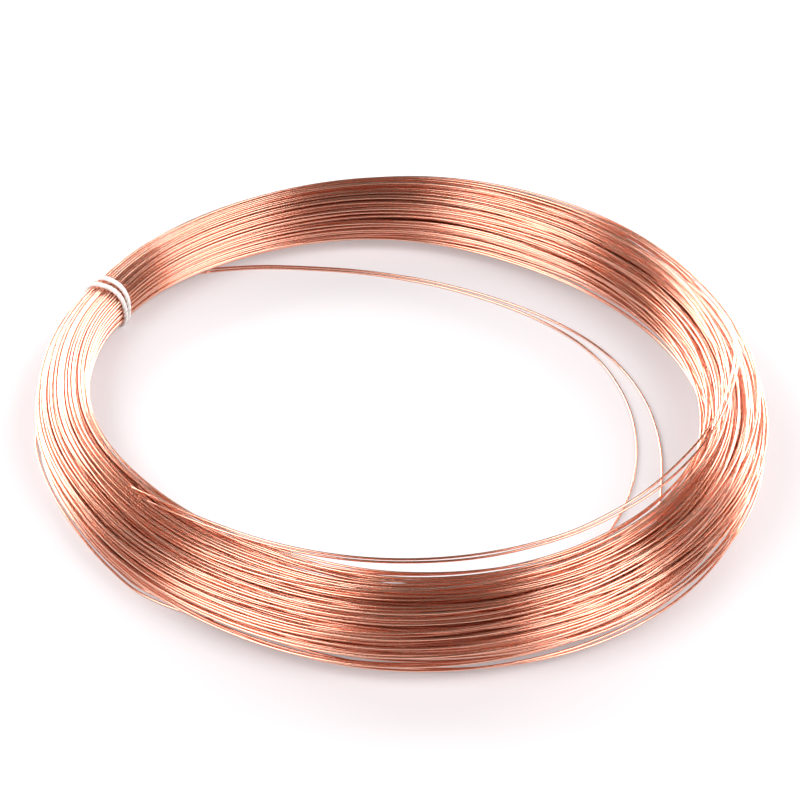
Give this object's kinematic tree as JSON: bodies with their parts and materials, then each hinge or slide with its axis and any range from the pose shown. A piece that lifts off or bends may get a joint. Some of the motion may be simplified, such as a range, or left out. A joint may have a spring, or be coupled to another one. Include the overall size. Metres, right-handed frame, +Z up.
{
  "type": "enamelled copper wire coil",
  "caption": "Loose flat coil of fine enamelled copper wire, tied once with white string, with loose turns inside its bore.",
  "frame": {"origin": "centre of the coil's outer wall, on the surface that the coil lies on", "axes": "+Z up along the coil's axis, -Y towards the front, where the turns spread"},
  "size_m": [0.19, 0.19, 0.02],
  "materials": {
    "enamelled_copper": "bright copper under clear enamel",
    "white_string": "soft twisted cotton"
  },
  "bodies": {
    "root": {"wire_coil": "enamelled_copper", "tie_string": "white_string", "loose_turn_wide": "enamelled_copper", "loose_turn_narrow": "enamelled_copper"}
  },
  "joints": []
}
